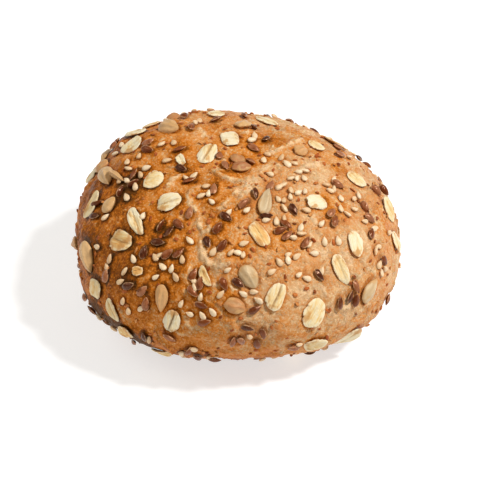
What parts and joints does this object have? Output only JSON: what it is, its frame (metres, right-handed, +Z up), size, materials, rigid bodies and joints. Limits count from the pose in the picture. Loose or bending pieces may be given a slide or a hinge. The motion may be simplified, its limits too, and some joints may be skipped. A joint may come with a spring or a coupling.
{
  "type": "bread roll",
  "caption": "Round domed wholegrain bread roll with oat flakes, sunflower kernels, linseed and sesame baked onto its crust.",
  "frame": {"origin": "middle of the flat foot that the roll rests on", "axes": "+Z up through the crown, -Y towards the side that the picture shows, +X to the right there"},
  "size_m": [0.1106, 0.1066, 0.0576],
  "materials": {
    "crust": "matt baked crust, golden to toasty brown",
    "oats": "matt cream oat flakes",
    "kernels": "matt greyish beige kernels",
    "linseed": "glossy brown seed skins",
    "sesame": "satin cream seeds"
  },
  "bodies": {
    "root": {"seeded_roll": "crust"}
  },
  "joints": []
}
